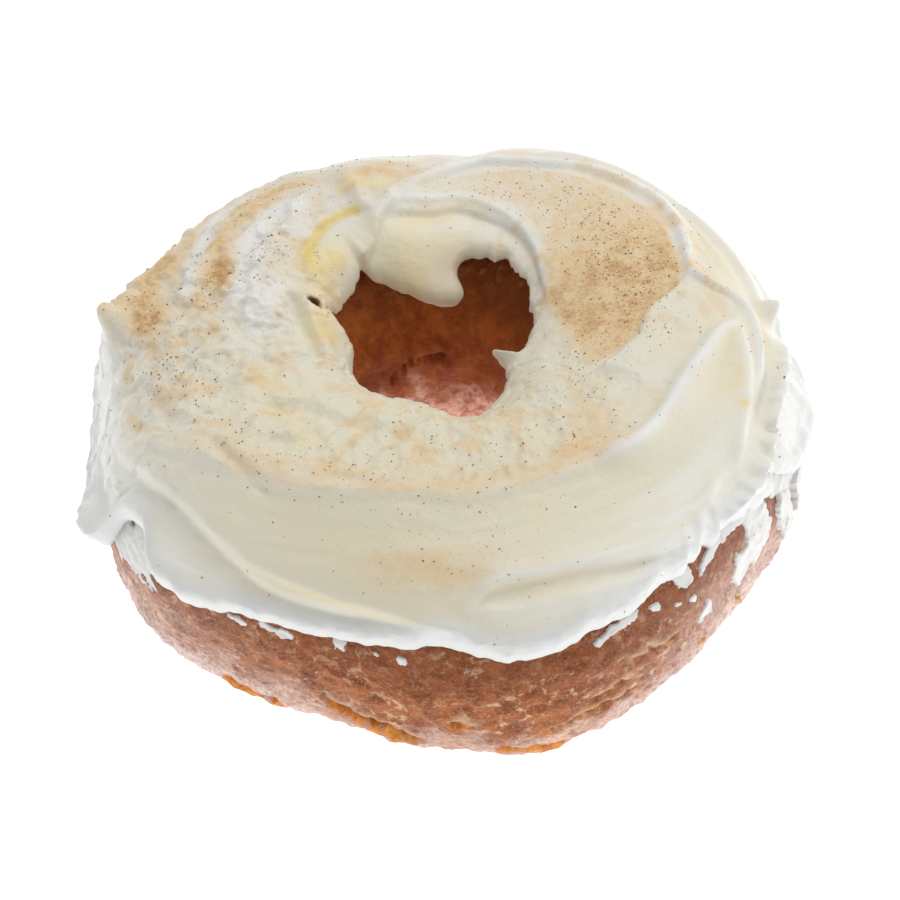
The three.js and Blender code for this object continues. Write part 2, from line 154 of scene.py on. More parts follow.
# Strokes of the knife: height, reach toward the hole, reach toward the rim, run-out, path
STROKES = {
    "shelf": (0.8, 3.5, 0.8, 12, (
        (-158, 56), (-151, 63), (-144, 70), (-135, 74), (-126, 76), (-115, 80), (-104, 85), (-95, 88),
        (-86, 88), (-78, 89), (-67, 89), (-56, 86), (-49, 84), (-42, 81), (-34, 80))),
    "front_band": (-1.1, 3.6, 6.0, 30, (
        (-150, 52), (-135, 62), (-120, 65), (-105, 69), (-95, 72), (-80, 74), (-67, 74), (-56, 72),
        (-42, 68), (-20, 66))),
    "left_fold": (0.6, 3.6, 0.9, 10, (
        (-164, 47), (-158, 51), (-151, 56), (-143, 58), (-138, 57), (-132, 54), (-127, 52), (-123, 49),
        (-118, 48), (-114, 47), (-108, 46), (-100, 45), (-92, 43), (-84, 41))),
    "under_fold": (-0.85, 0.8, 2.2, 14, (
        (-160, 45), (-148, 51), (-139, 52), (-128, 46), (-120, 40), (-110, 39), (-100, 40), (-90, 39))),
    "swirl": (1.0, 0.5, 1.3, 10, (
        (-17, 58), (-13, 59), (-7, 60), (-2, 61), (4, 63), (7, 68), (9, 76), (12, 80), (19, 78), (26, 74),
        (34, 70), (40, 70), (47, 72), (54, 74), (60, 77), (66, 80), (72, 81), (78, 81), (84, 85), (91, 90),
        (102, 98))),
    "outer_right": (0.8, 1.6, 0.5, 8, (
        (2, 50), (12, 50), (18, 53), (24, 55), (33, 58), (38, 62), (46, 63), (56, 66), (70, 71))),
    "leaf": (1.1, 0.9, 2.2, 8, (
        (-56, 87), (-50, 84), (-43, 81), (-36, 81), (-25, 82), (-17, 81), (-10, 78), (-5, 75), (-1, 70),
        (3, 65))),
    "leaf_side": (0.7, 1.4, 0.6, 6, (
        (-34, 50), (-30, 53), (-25, 57), (-20, 60), (-14, 63), (-7, 66), (-1, 69))),
    "outer_groove": (-1.0, 0.9, 0.9, 6, ((-24, 52), (-19, 54), (-13, 55), (-7, 57), (-2, 57), (4, 58))),
    "outer_fold": (1.3, 1.0, 0.45, 7, (
        (-44, 40), (-36, 41), (-30, 42), (-24, 44), (-19, 48), (-14, 49), (-8, 49), (-2, 48), (5, 46))),
    "outer_step": (-1.4, 0.3, 14.0, 7, (
        (-30, 39), (-24, 41), (-19, 44), (-14, 45), (-8, 45), (-2, 44), (6, 42))),
    "hole_rim": (0.6, 0.7, 2.6, 10, (
        (14, 127), (20, 125), (36, 122), (50, 116), (64, 109), (74, 104), (83, 100), (91, 100), (100, 98),
        (108, 99))),
    "tongue_root": (-0.7, 1.6, 0.6, 8, (
        (30, 127), (35, 126), (43, 123), (52, 119), (62, 115), (73, 111), (82, 107), (91, 107), (102, 105),
        (110, 107))),
    "petal_edge": (0.9, 0.5, 2.6, 4, ((100, 98), (105, 101), (110, 106), (115, 113), (120, 117), (126, 120))),
    "petal_crease": (-0.7, 0.7, 0.6, 6, (
        (110, 101), (117, 100), (120, 100), (125, 101), (134, 106), (142, 109), (148, 113))),
    "low_petal_side": (-0.9, 0.5, 0.9, 4, ((158, 114), (164, 116), (174, 119), (184, 123), (195, 127))),
    "low_petal_top": (0.5, 1.6, 0.4, 4, ((156, 117), (164, 119), (174, 122), (184, 126), (195, 130))),
    "petal_join": (-0.6, 0.5, 0.5, 1.5, ((150, 131), (154, 127.5), (158, 125), (163, 122.5))),
    "left_ridge": (1.0, 2.2, 0.7, 10, (
        (118, 82), (125, 85), (129, 88), (133, 94), (143, 96), (152, 98), (161, 100), (170, 101), (180, 99))),
    "outer_left": (0.9, 2.4, 0.8, 10, ((112, 66), (125, 62), (138, 60), (150, 62), (165, 60), (178, 54))),
    "left_drag": (0.6, 1.4, 0.7, 10, ((128, 76), (138, 78), (150, 80), (160, 79), (170, 76), (178, 72))),
    "hole_scoop": (-1.1, 1.4, 2.0, 10, (
        (-152, 101), (-145, 103), (-142, 107), (-131, 111), (-119, 112), (-108, 114), (-98, 117))),
    "scoop_edge": (0.5, 0.5, 1.8, 8, (
        (-146, 84), (-141, 88), (-135, 95), (-130, 102), (-125, 107), (-117, 108), (-106, 111), (-98, 113))),
    "plateau_crease": (-0.7, 0.7, 0.9, 5, ((-147, 77), (-142, 77), (-135, 76), (-129, 74), (-124, 73))),
    "back_streak": (-0.7, 1.0, 0.7, 8, ((84, 74), (91, 78), (101, 88), (108, 94), (116, 98))),
    "right_stroke_high": (0.7, 1.6, 0.7, 8, (
        (-90, 47), (-86, 50), (-84, 54), (-80, 57), (-75, 57), (-71, 57), (-67, 56), (-58, 51), (-52, 48),
        (-42, 44))),
    "right_furrow": (-0.4, 1.1, 1.1, 8, (
        (-88, 50), (-82, 51.5), (-76, 52.5), (-70, 52.5), (-65, 51), (-58, 47.5), (-50, 44))),
    "right_stroke_low": (0.5, 0.8, 1.4, 8, (
        (-90, 46), (-85, 47), (-81, 46), (-73, 46.5), (-65, 45), (-58, 43), (-52, 41))),
    "right_nick": (0.5, 0.5, 1.0, 4, ((-48, 47), (-44, 50), (-40, 52), (-36, 54))),
    "patch_edge": (0.9, 0.5, 4.0, 6, (
        (-30, 108), (-20, 105), (-9, 100), (1, 97), (6, 90), (11, 83), (16, 79))),
}
TORN_STROKES = ("outer_fold", "outer_step")
TORN_BY = 2.2

# Radius at which a degree of the tube angle is measured
STROKE_ARC = 20

# Foot of the plateau round the hole
SHELF_LINE = STROKES["shelf"][-1] + ((-20, 76), (-2, 68), (40, 66), (110, 64), (165, 58))

# Fineness of the two rings: points of the section, steps round the ring, cuts of each edge
DOUGH_FINENESS = (18, 80, 7)
ICING_FINENESS = (20, 76, 7)

# Share of the icing's section that is its top
TOP_SHARE = 0.92


# Curves and bells

def smoothstep(value, low, high):
    t = np.clip((value - low) / (high - low), 0, 1)
    return t * t * (3 - 2 * t)


def largest(values):
    return np.maximum.reduce(values)


def turned(angle):
    return (angle + 180) % 360 - 180


def bell(angle, at, spread):
    return np.exp(-((turned(angle - at) / spread) ** 2))


def through(knots, angle):
    """A smooth curve through knots of angle and value."""
    at = np.array([knot[0] for knot in knots], float)
    value = np.array([knot[1] for knot in knots], float)
    ahead = np.append(np.arange(1, len(at)), len(at) - 1)
    behind = np.append(0, np.arange(len(at) - 1))
    slope = (value[ahead] - value[behind]) / (at[ahead] - at[behind])
    i = np.clip(np.searchsorted(at, angle, side="right") - 1, 0, len(at) - 2)
    span = at[i + 1] - at[i]
    t = np.clip((angle - at[i]) / span, 0, 1)
    rise = (2 * t**3 - 3 * t**2 + 1) * value[i] + (3 * t**2 - 2 * t**3) * value[i + 1]
    return rise + span * ((t**3 - 2 * t**2 + t) * slope[i] + (t**3 - t**2) * slope[i + 1])


def round_the_ring(knots, angle):
    first, second, last = knots[0], knots[1], knots[-1]
    ring = ((last[0] - 360, last[1]), *knots, (first[0] + 360, first[1]), (second[0] + 360, second[1]))
    return through(ring, turned(angle))


def ridge(stroke, ring, tube):
    """A ridge, or with a negative height a groove, that runs out at both ends of its path."""
    height, toward_hole, toward_rim, run_out, path = stroke
    start, end = path[0][0], path[-1][0]
    angle = start + (ring - start) % 360
    across = np.radians(turned(tube - through(path, angle))) * STROKE_ARC
    reach = np.where(across > 0, toward_hole, toward_rim)
    present = smoothstep(angle, start, start + run_out) * (1 - smoothstep(angle, end - run_out, end))
    return height * present * np.exp(-((across / reach) ** 2))


def lump(values, ring, tube):
    at, spread, tube_at, tube_spread, height = values
    return height * bell(ring, at, spread) * np.exp(-((turned(tube - tube_at) / tube_spread) ** 2))


def fractal(points, size, octaves, seed):
    """Noise of about -1 to 1 whose largest features have one size in millimetres."""
    scaled = (points / size + np.array([seed, seed * 0.37, -seed])).tolist()
    return np.array([noise.fractal(place, 1.0, 2.0, octaves) for place in scaled])


def grain(points, values):
    height, size, octaves, seed = values
    return height * fractal(points, size, octaves, seed)


def along_ring(ring, steps, octaves, seed):
    """Noise that changes only along the ring, with about that many features in a turn."""
    turn = np.radians(ring)
    size = 2 * math.pi / steps
    return fractal(np.stack([np.cos(turn), np.sin(turn), 0 * turn], 1), size, octaves, seed)


# Forms of the dough and the icing

def section_at(ring):
    waver = sum(reach * np.cos(np.radians(waves * (ring - crest))) for waves, reach, crest in RIM_WAVES)
    rim = RIM_RADIUS + waver
    half_height = (DOUGH_HEIGHT + FLATTENED_BY) / 2
    return (rim + HOLE_RADIUS) / 2, (rim - HOLE_RADIUS) / 2, half_height, DOUGH_HEIGHT - half_height


def rounded_square(tube, half_width, half_height, squareness):
    across = (np.abs(np.cos(np.radians(tube))) / half_width) ** squareness
    up = (np.abs(np.sin(np.radians(tube))) / half_height) ** squareness
    return (across + up) ** (-1 / squareness)


def placed(ring, tube, reach):
    middle, _, _, level = section_at(ring)
    radius = middle + reach * np.cos(np.radians(tube))
    height = np.maximum(level + reach * np.sin(np.radians(tube)), 0)
    turn = np.radians(ring)
    return np.stack([radius * np.cos(turn), radius * np.sin(turn), height], 1)


def dough_reach(ring, tube):
    _, half_width, half_height, _ = section_at(ring)
    reach = rounded_square(tube, half_width, half_height, DOUGH_SQUARENESS)
    return reach + sum(lump(values, ring, tube) for values in DOUGH_LUMPS)


def crag(values, ring, tube):
    """The relief of one crag, and how bare its crumb is, where a highlight is painted on its rim and where
    shadow is painted in its crack.
    """
    size, run_out, crag_path = values
    depth, above, below = CRAG_CRACK
    lowered = tube + math.degrees(LEDGE_BELOW * size / STROKE_ARC)
    raised = tube - math.degrees(above / STROKE_ARC)
    ledge = ridge((0.5 * size, 0.9 * size, 1.4 * size, run_out, crag_path), ring, lowered)
    crack = ridge((depth * size, above, below, run_out, crag_path), ring, tube)
    bare = ridge((1.0, 0.2, 1.5 * size, run_out, crag_path), ring, tube)
    rim = ridge((1.0, 0.7, 0.2, run_out, crag_path), ring, raised)
    dark = ridge((1.0, 0.2, 0.6 * size, run_out, crag_path), ring, tube)
    return ledge + crack, bare, rim, dark


def crust(ring, tube):
    """Points of the crust, and how bare its crags are, where highlights are painted on their rims and where
    shadow is painted in their cracks.
    """
    plain = dough_reach(ring, tube)
    points = placed(ring, tube, plain)
    rippled = tube + grain(points, CRAG_RIPPLE)
    crags = [crag(values, ring, rippled) for values in CRAGS]
    bare = largest([each[1] for each in crags])
    rim = largest([each[2] for each in crags])
    dark = largest([each[3] for each in crags])
    below_icing = 1 - smoothstep(tube, 20, 40) * (1 - smoothstep(tube, 120, 140))
    flat = np.array([1, 1, 1.8])
    relief = grain(points * flat, CRUST_SWELL) + grain(points * flat, CRUST_GRAIN)
    relief = relief + grain(points * flat, CRUMB_GRAIN) * bare
    standing = smoothstep(points[:, 2], 0.2, 2.5)
    reach = plain + (sum(each[0] for each in crags) + relief * standing) * below_icing
    return placed(ring, tube, reach), bare, rim, dark


def icing_edges(ring):
    ragged = 1.4 * along_ring(ring, 40, 3, 2.2) + 1.3 * along_ring(ring, 120, 4, 7.7)
    ragged = ragged + 4.0 * along_ring(ring, 130, 4, 4.6) * bell(ring, -28, 28)
    torn = 2.2 * along_ring(ring, 60, 3, 5.9) * (1 - 0.8 * bell(ring, 95, 30))
    return round_the_ring(OUTER_EDGE, ring), round_the_ring(HOLE_EDGE, ring), ragged, torn


def icing_place(ring, share):
    """The icing's two edges, which are ragged, and the tube angle a share of the way between them."""
    outer, inner, ragged, torn = icing_edges(ring)
    tube = outer + (inner - outer) * share
    tube = tube + ragged * (1 - smoothstep(share, 0.0, 0.12)) + torn * smoothstep(share, 0.88, 1.0)
    return outer + ragged, inner + torn, tube


def coat_of_icing(ring, share, on_top):
    """Points of the icing's top, or of its underside, with their tube angles."""
    outer, inner, tube = icing_place(ring, share)
    hooked = bell(ring, HOOK["at"], HOOK["spread"]) * smoothstep(tube, HOOK["start"], HOOK["end"])
    at = ring - HOOK["turn"] * hooked
    _, half_width, half_height, _ = section_at(at)
    underside = rounded_square(tube, half_width, half_height, DOUGH_SQUARENESS) + ICING_GAP
    crest = half_height + CREST - FRONT_DROP * bell(ring, -90, 50)
    outward = rounded_square(tube, half_width + OUTER_SIDE, crest, OUTER_SQUARENESS)
    hole_side = round_the_ring(HOLE_SIDE, ring)
    holeward = rounded_square(tube, half_width + hole_side, crest, HOLE_SQUARENESS)
    thickness = np.where(tube < 90, outward, holeward) - underside
    thickness = thickness + sum(lump(values, ring, tube) for values in ICING_LUMPS.values())
    torn = tube + TORN_BY * along_ring(ring, 150, 4, 3.1)
    thickness = thickness + sum(
        ridge(values, ring, torn if name in TORN_STROKES else tube) for name, values in STROKES.items())
    at_spur, spur_spread, spur_tube, spur_reach, spur_height = SPUR
    pointed = np.exp(-np.abs(turned(ring - at_spur)) / spur_spread)
    thickness = thickness + spur_height * pointed * np.exp(-(((tube - spur_tube) / spur_reach) ** 2))
    bead, above_edge, spread = LIP_BEAD
    thickness = thickness + bead * np.exp(-(((tube - outer - above_edge) / spread) ** 2))
    base = placed(at, tube, underside + thickness)
    thickness = thickness + icing_relief(ring, tube, base)
    lifted = np.maximum(thickness - HOLE_LIP_THICKNESS, 0) * smoothstep(tube, inner - 18, inner - 4)
    underside = underside + lifted
    thickness = thickness - lifted
    from_outer = 1 - np.clip((tube - outer) / NOSE, 0, 1)
    from_inner = 1 - np.clip((inner - tube) / HOLE_NOSE, 0, 1)
    nose = np.sqrt(1 - from_outer**2) * np.sqrt(1 - from_inner**2)
    top = EDGE_THICKNESS + (np.maximum(thickness, EDGE_THICKNESS) - EDGE_THICKNESS) * nose
    return placed(at, tube, underside + np.where(on_top, top, 0)), tube


def roughness_of_icing(ring, tube):
    """1 where the icing is torn and rough, as on the left, and near 0 where the knife left it smooth."""
    left = bell(ring, 168, 44) * (0.6 + 0.4 * smoothstep(tube, 40, 58))
    left_front = 0.8 * bell(ring, -164, 22) * smoothstep(tube, 50 - 40 * bell(ring, -170, 18), 66)
    plateau = 0.75 * bell(ring, -95, 75) * smoothstep(tube - round_the_ring(SHELF_LINE, ring), 0, 8)
    by_hole = 0.4 * smoothstep(tube, 112, 130) * (1 - bell(ring, 95, 26))
    outer = round_the_ring(OUTER_EDGE, ring)
    lip = 0.35 * (1 - smoothstep(tube - outer, 4, 14))
    right = 0.7 * bell(ring, 0, 22) * (1 - smoothstep(tube, 44, 52))
    blob = 0.9 * bell(ring, -160, 11) * (1 - smoothstep(tube, 46, 58))
    petals = 1 - 0.92 * bell(ring, 132, 24) * smoothstep(tube, 98, 106)
    petals = petals * (1 - 0.85 * bell(ring, 176, 16) * smoothstep(tube, 116, 121))
    torn = largest([left, left_front, plateau, by_hole, lip, right, blob])
    return np.clip(torn * petals, 0.06, 1)


def knife_lines(ring, tube, along_mm):
    """Places in which one step across the knife's path counts as much as a longer one along it."""
    turn = np.radians(ring)
    across = np.radians(tube - round_the_ring(SHELF_LINE, ring)) * STROKE_ARC
    along = RIM_RADIUS / along_mm
    return np.stack([across, np.cos(turn) * along, np.sin(turn) * along], 1)


def icing_relief(ring, tube, points):
    """Fine relief: torn and bumpy where rough, and combed along the knife's path."""
    rough = roughness_of_icing(ring, tube)
    plates = smoothstep(fractal(points, 3.6, 4, 3.3), -0.1, 0.14) - 0.5
    torn = 0.42 * plates + 0.3 * fractal(points, 4.5, 4, 7.3) + 0.26 * fractal(points, 1.3, 4, 9.1)
    dragged = 0.3 * bell(ring, 140, 42) * smoothstep(tube, 40, 60) * (1 - 0.8 * smoothstep(tube, 104, 112))
    smooth = 1 - 0.85 * bell(ring, 108, 36) * smoothstep(tube, 98, 106)
    rough = rough * (1 + 0.5 * bell(ring, 176, 40) * smoothstep(tube, 44, 60))
    return torn * rough + (0.09 + dragged) * smooth * fractal(knife_lines(ring, tube, 9.0), 1.6, 4, 6.5)


# Meshes

def spun_ring(fineness):
    """A ring of quads, with each vertex's ring angle and its turn round the section from 0 to 1."""
    section_points, ring_steps, cuts = fineness
    middle, radius = 30.0, 10.0
    shape = bmesh.new()
    upright = Matrix.Translation((middle, 0, 0)) @ Matrix.Rotation(math.pi / 2, 4, "X")
    bmesh.ops.create_circle(shape, cap_ends=False, segments=section_points, radius=radius, matrix=upright)
    bmesh.ops.spin(shape, geom=shape.verts[:] + shape.edges[:], cent=(0, 0, 0), axis=(0, 0, 1),
                   angle=2 * math.pi, steps=ring_steps, use_merge=True)
    bmesh.ops.subdivide_edges(shape, edges=shape.edges[:], cuts=cuts, use_grid_fill=True)
    bmesh.ops.recalc_face_normals(shape, faces=shape.faces[:])
    mesh = bpy.data.meshes.new("ring")
    shape.to_mesh(mesh)
    shape.free()
    place = np.empty(len(mesh.vertices) * 3, np.float32)
    mesh.vertices.foreach_get("co", place)
    x, y, z = place.reshape(-1, 3).astype(float).T
    ring = np.degrees(np.arctan2(y, x))
    turn = np.degrees(np.arctan2(z, np.hypot(x, y) - middle)) / 360 % 1
    return mesh, ring, turn


def move_vertices(mesh, points):
    """Set the vertices to points about the hole's axis, in millimetres."""
    shifted = (points + np.array([*HOLE_AXIS, 0])) * MM
    mesh.vertices.foreach_set("co", shifted.astype(np.float32).ravel())
    mesh.polygons.foreach_set("use_smooth", np.ones(len(mesh.polygons), bool))
    mesh.update()


def paint(mesh, name, values):
    """Store one number for each vertex, for the material to read."""
    layer = mesh.attributes.new(name, "FLOAT", "POINT")
    layer.data.foreach_set("value", np.clip(values, 0, 1).astype(np.float32))


def show(thing):
    bpy.context.scene.collection.objects.link(thing)


def add_piece(name, mesh, material, replaced=None):
    mesh.name = name
    mesh.materials.append(material)
    piece = bpy.data.objects.new(name, mesh)
    show(piece)
    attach(piece, "root")
    if replaced:
        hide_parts(replaced)


# Materials, with colours as linear red, green and blue

# Of the icing's colours, the grey of hollows and the dull tan are painted shade, the near-black is painted
# shadow in a tear, and the whites of crests and lip are partly painted light
ICING_COLOURS = SimpleNamespace(
    thin=(0.77, 0.76, 0.715), fresh=(0.74, 0.7, 0.545), clouds=(0.77, 0.685, 0.51),
    hollow_shade=(0.68, 0.67, 0.64), white_and_highlights=(0.815, 0.83, 0.825), lip=(0.715, 0.738, 0.738),
    dust=(0.742, 0.56, 0.328), thick_dust=(0.54, 0.315, 0.14), stain=(0.83, 0.65, 0.22),
    painted_tongue_shade=(0.575, 0.485, 0.365), gap=(0.075, 0.03, 0.012),
)
# Of the crust's colours, the pale pink ones are partly painted light from the floor, the bright pink ones
# inside the hole are painted light, the pale tan rim is a painted highlight, and the crack and shade tones
# are painted shadow
CRUST_COLOURS = SimpleNamespace(
    dark=(0.22, 0.054, 0.016), brown=(0.47, 0.154, 0.051), flecks=(0.74, 0.48, 0.3),
    pits=(0.15, 0.036, 0.014), sugar=(0.72, 0.42, 0.26), floor_lit_bloom=(0.9, 0.69, 0.605),
    floor_lit_mauve_bloom=(0.88, 0.745, 0.7), wall_dark=(0.355, 0.082, 0.01), wall=(0.56, 0.16, 0.024),
    shade=(0.2, 0.055, 0.019), hole_glow_dark=(0.5, 0.2, 0.13), hole_glow=(0.96, 0.64, 0.52),
    rim=(0.74, 0.54, 0.36), crumb_dark=(0.57, 0.165, 0.03), crumb=(0.86, 0.345, 0.07),
    crumb_flakes=(0.86, 0.47, 0.17), crack=(0.215, 0.055, 0.016),
)


class Finish:
    """A material and short ways to add its nodes."""

    def __init__(self, name):
        self.material = bpy.data.materials.new(name)
        self.material.use_nodes = True
        self.tree = self.material.node_tree
        self.shader = self.tree.nodes["Principled BSDF"]
        self.place = self.add("ShaderNodeTexCoord").outputs["Object"]

    def add(self, kind, **settings):
        node = self.tree.nodes.new(kind)
        for key, value in settings.items():
            setattr(node, key, value)
        return node

    def feed(self, socket, value):
        if isinstance(value, bpy.types.NodeSocket):
            self.tree.links.new(value, socket)
        elif isinstance(value, tuple):
            socket.default_value = (*value, 1)
        else:
            socket.default_value = value

    def painted(self, name):
        return self.add("ShaderNodeAttribute", attribute_name=name).outputs["Fac"]

    def grain(self, size_mm, detail=3.0, rough=0.5, stretch=(1, 1, 1)):
        """Noise with features of one size."""
        mapping = self.add("ShaderNodeMapping")
        mapping.inputs["Scale"].default_value = stretch
        self.feed(mapping.inputs["Vector"], self.place)
        node = self.add("ShaderNodeTexNoise")
        self.feed(node.inputs["Vector"], mapping.outputs["Vector"])
        node.inputs["Scale"].default_value = 1 / (size_mm * MM)
        node.inputs["Detail"].default_value = detail
        node.inputs["Roughness"].default_value = rough
        return node.outputs["Fac"]

    def between(self, value, low, high):
        """0 below one value, 1 above another, smooth between."""
        node = self.add("ShaderNodeMapRange", interpolation_type="SMOOTHSTEP")
        self.feed(node.inputs["Value"], value)
        node.inputs["From Min"].default_value = low
        node.inputs["From Max"].default_value = high
        return node.outputs["Result"]

    def math(self, operation, first, second):
        node = self.add("ShaderNodeMath", operation=operation)
        self.feed(node.inputs[0], first)
        self.feed(node.inputs[1], second)
        return node.outputs["Value"]

    def times(self, first, second):
        return self.math("MULTIPLY", first, second)

    def mix(self, share, first, second):
        node = self.add("ShaderNodeMix", data_type="RGBA")
        self.feed(node.inputs[0], share)
        self.feed(node.inputs[6], first)
        self.feed(node.inputs[7], second)
        return node.outputs[2]

    def bump(self, height, depth_mm, strength=1.0, over=None):
        node = self.add("ShaderNodeBump")
        self.feed(node.inputs["Strength"], strength)
        node.inputs["Distance"].default_value = depth_mm * MM
        self.feed(node.inputs["Height"], height)
        if over is not None:
            self.feed(node.inputs["Normal"], over)
        return node.outputs["Normal"]

    def set(self, **values):
        for name, value in values.items():
            self.feed(self.shader.inputs[name.replace("_", " ")], value)


def icing_finish():
    finish = Finish("cream_icing")
    colour = ICING_COLOURS
    tone = finish.mix(finish.painted("cream"), colour.thin, colour.fresh)
    cloudy = finish.between(finish.grain(6, 4, 0.6), 0.38, 0.68)
    tone = finish.mix(finish.times(cloudy, 0.4), tone, colour.clouds)
    # Painted shade: the hollows of the bump relief are painted greyer where the icing is rough
    hollow_shade = finish.between(finish.grain(1.4, 4, 0.6), 0.56, 0.34)
    hollow_shade = finish.times(hollow_shade, finish.times(finish.painted("rough"), 0.3))
    tone = finish.mix(hollow_shade, tone, colour.hollow_shade)
    # White of thin, clean icing, with painted highlights on crests and painted light on the front right and
    # left
    tone = finish.mix(finish.painted("white_and_lit"), tone, colour.white_and_highlights)
    # The lip is painted whiter and bluer: partly thin icing, partly painted light from the bright floor
    tone = finish.mix(finish.painted("lip"), tone, colour.lip)
    drifts = finish.between(finish.grain(2.4, 4, 0.62), 0.32, 0.66)
    powder = finish.between(finish.grain(0.45, 3, 0.65), 0.36, 0.66)
    patchy = finish.math("ADD", 0.7, finish.times(drifts, 0.34))
    grainy = finish.math("ADD", 0.78, finish.times(powder, 0.28))
    dust = finish.times(finish.painted("dust"), finish.times(patchy, grainy))
    tone = finish.mix(finish.between(dust, 0.0, 0.65), tone, colour.dust)
    tone = finish.mix(finish.between(dust, 0.47, 1.08), tone, colour.thick_dust)
    tone = finish.mix(finish.times(finish.painted("stain"), 0.85), tone, colour.stain)
    # Painted shade on the lower part of the tongue, which bends down away from the light
    tone = finish.mix(finish.painted("painted_tongue_shade"), tone, colour.painted_tongue_shade)
    # Painted shadow inside the tear left of the hole
    tone = finish.mix(finish.painted("gap"), tone, colour.gap)
    rough = finish.math("ADD", 0.26, finish.times(finish.painted("rough"), 0.74))
    fine = finish.bump(finish.grain(0.35, 3, 0.6), 0.06, 0.4)
    bumps = finish.bump(finish.grain(1.4, 4, 0.6), 0.32, rough, fine)
    matte = finish.math("ADD", 0.45, finish.times(dust, 0.3))
    finish.set(Base_Color=tone, Normal=bumps, Roughness=matte)
    finish.set(Subsurface_Weight=0.15, Subsurface_Scale=0.001, Specular_IOR_Level=0.35)
    finish.shader.inputs["Subsurface Radius"].default_value = (1.0, 0.75, 0.45)
    return finish.material


def crust_finish():
    finish = Finish("fried_crust")
    colour = CRUST_COLOURS
    flat = (1, 1, 1.2)
    mottle = finish.between(finish.grain(2.8, 6, 0.7, flat), 0.34, 0.66)
    tone = finish.mix(mottle, colour.dark, colour.brown)
    clusters = finish.between(finish.grain(8.0, 3, 0.6), 0.36, 0.6)
    clusters = finish.math("ADD", 0.32, finish.times(clusters, 0.68))
    flecks = finish.between(finish.grain(1.5, 5, 0.66, flat), 0.53, 0.64)
    tone = finish.mix(finish.times(flecks, clusters), tone, colour.flecks)
    pits = finish.between(finish.grain(1.3, 4, 0.65, flat), 0.6, 0.68)
    tone = finish.mix(finish.times(pits, 0.7), tone, colour.pits)
    sugar = finish.between(finish.grain(0.42, 3, 0.6, flat), 0.52, 0.6)
    tone = finish.mix(finish.times(sugar, 0.27), tone, colour.sugar)
    # Paler, pinker crust low down and at the sides: partly its sugary bloom, partly painted light bounced up
    # from the floor
    floor_lit_bloom = finish.between(finish.grain(0.65, 4, 0.7, flat), 0.36, 0.62)
    floor_lit_bloom = finish.math("ADD", 0.45, finish.times(floor_lit_bloom, 0.6))
    bloomed_and_floor_lit = finish.mix(finish.painted("mauve"), colour.floor_lit_bloom, colour.floor_lit_mauve_bloom)
    tone = finish.mix(finish.times(finish.painted("pale_and_floor_lit"), floor_lit_bloom), tone, bloomed_and_floor_lit)
    wall = finish.between(finish.grain(2.8, 5, 0.65, (1, 1, 0.6)), 0.36, 0.64)
    wall = finish.mix(wall, colour.wall_dark, colour.wall)
    tone = finish.mix(finish.times(finish.painted("wall"), 0.9), tone, wall)
    tone = finish.mix(finish.times(finish.painted("shade"), 0.55), tone, colour.shade)
    # Painted light: the lower wall inside the hole is painted bright pink where light from the floor comes up
    # through the hole
    hole_glow = finish.between(finish.grain(1.5, 5, 0.7), 0.37, 0.6)
    hole_glow = finish.mix(hole_glow, colour.hole_glow_dark, colour.hole_glow)
    tone = finish.mix(finish.painted("floor_lit_hole"), tone, hole_glow)
    # Painted highlight on the crust's edge above each crag's crack
    tone = finish.mix(finish.times(finish.painted("rim"), 0.75), tone, colour.rim)
    crumb = finish.between(finish.grain(1.2, 4, 0.6), 0.36, 0.6)
    crumb = finish.mix(crumb, colour.crumb_dark, colour.crumb)
    flakes = finish.between(finish.grain(0.7, 4, 0.65), 0.54, 0.64)
    crumb = finish.mix(finish.times(flakes, 0.6), crumb, colour.crumb_flakes)
    tone = finish.mix(finish.painted("crumb"), tone, crumb)
    # Painted shadow in each crag's crack, under the overhanging crust
    tone = finish.mix(finish.times(finish.painted("crack"), 0.8), tone, colour.crack)
    fine = finish.bump(finish.grain(0.45, 3, 0.65, flat), 0.22, 0.65)
    bumps = finish.bump(finish.grain(1.1, 4, 0.65, flat), 0.45, 0.9, fine)
    finish.set(Base_Color=tone, Normal=bumps, Roughness=0.42, Specular_IOR_Level=0.16)
    return finish.material


# Dust of spice on the icing: ring angle, spread, tube angle, spread, strength
DUST = (
    (176, 4, 69, 5, 0.45), (171, 4, 62, 5, 0.22), (172, 5, 87, 5, 0.55), (160, 6, 89, 4, 0.45),
    (154, 7, 95, 5, 0.15), (150, 10, 102, 5, 0.22), (142, 6, 102, 4, 0.15), (-178, 5, 128, 4, 0.45),
    (-178, 6, 76, 6, 0.22), (-168, 4, 73, 4, 0.4), (-161, 4, 103, 4, 0.35), (166, 9, 110, 7, 0.2),
    (-172, 5, 92, 5, 0.22), (98, 9, 84, 5, 0.6), (106, 6, 82, 5, 0.52), (112, 5, 88, 4, 0.42),
    (116, 10, 76, 7, 0.35), (92, 8, 94, 4, 0.25), (-20, 14, 117, 6, 0.34), (2, 16, 122, 5, 0.38),
    (172, 7, 127, 6, 0.45), (148, 8, 122, 5, 0.1), (-36, 8, 112, 6, 0.26), (-44, 9, 101, 8, 0.38),
    (-54, 9, 94, 5, 0.38), (-92, 28, 60, 12, 0.24), (-96, 9, 62, 10, 0.12), (-72, 10, 48, 5, 0.06),
    (-90, 9, 62, 9, 0.12),
)
# Streaks of dust: strength, reach toward the hole, reach toward the rim, run-out, path
DUST_STREAKS = (
    (0.64, 3.6, 3.8, 10, (
        (124, 57), (132, 58), (140, 60), (150, 64), (158, 67), (166, 66), (172, 65), (178, 66), (186, 64))),
    (0.6, 3.6, 3.2, 20, (
        (112, 74), (118, 73), (126, 74), (137, 77), (145, 81), (152, 84), (158, 87), (165, 88), (172, 87),
        (180, 83))),
    (0.42, 4.4, 0.5, 16, STROKES["shelf"][-1]),
)

